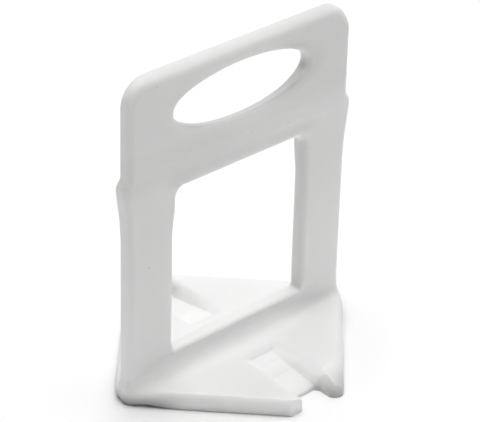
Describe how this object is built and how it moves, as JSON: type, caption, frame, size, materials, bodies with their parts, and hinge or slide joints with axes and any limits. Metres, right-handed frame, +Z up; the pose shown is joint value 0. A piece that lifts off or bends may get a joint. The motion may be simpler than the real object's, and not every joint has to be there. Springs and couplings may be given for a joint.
{
  "type": "tile levelling clip",
  "caption": "One-piece moulded tile levelling clip: diamond base that goes under the tile edges, two legs around a wedge window, and a head with an oval hand hole.",
  "frame": {"origin": "centre of the flat underside of the base", "axes": "+X along the width of the legs and head, +Y through the wedge window, +Z up from the underside to the head"},
  "size_m": [0.038, 0.033, 0.0453],
  "materials": {
    "white_plastic": "satin"
  },
  "bodies": {
    "root": {"clip": "white_plastic"}
  },
  "joints": []
}
